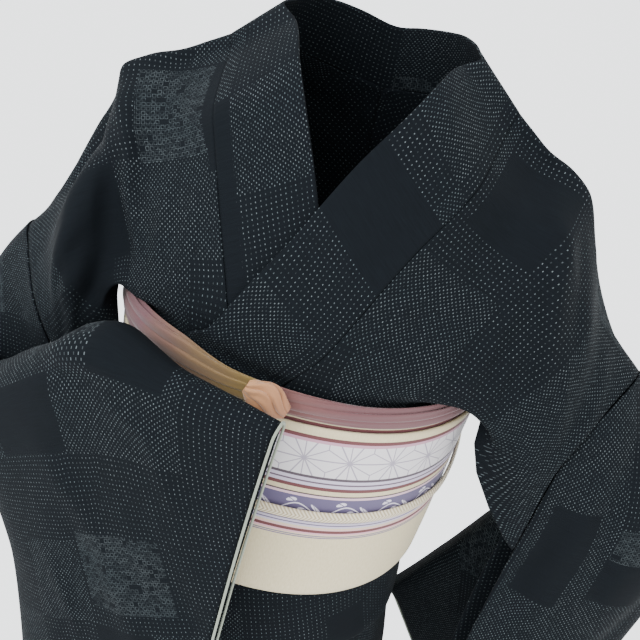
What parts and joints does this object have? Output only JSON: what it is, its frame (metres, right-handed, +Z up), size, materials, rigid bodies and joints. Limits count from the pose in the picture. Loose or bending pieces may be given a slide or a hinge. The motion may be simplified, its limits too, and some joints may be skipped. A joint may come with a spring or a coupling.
{
  "type": "kimono with belt",
  "caption": "Dark woven-dot silk kimono in the form it is worn, left front over right, with cream obi, scarf and flat cord, hollow and open at neck, cuffs and hem.",
  "frame": {"origin": "middle of the line over the wearer's shoulders, where the garment hangs on its wearer", "axes": "+Z up, the front of the garment faces -Y, the wearer's left side is +X"},
  "size_m": [0.6855, 0.4116, 1.3464],
  "materials": {
    "tsumugi": "matte slubbed silk",
    "cuff_lining": "smooth silk",
    "obi": "satin weave",
    "obiage": "soft crepe",
    "obijime": "flat silk braid"
  },
  "bodies": {
    "root": {"body_left": "tsumugi", "body_right": "tsumugi", "sleeve_right": "tsumugi", "sleeve_left": "tsumugi", "okumi_left": "tsumugi", "okumi_right": "tsumugi", "collar": "tsumugi", "cuff_lining_right": "cuff_lining", "cuff_lining_left": "cuff_lining", "obi_wrap_inner": "obi", "obi_wrap_outer": "obi", "obi_drum": "obi", "obi_tail": "obi", "obiage_left": "obiage", "obiage_right": "obiage", "obiage_knot": "obiage", "obijime_band": "obijime"}
  },
  "joints": []
}
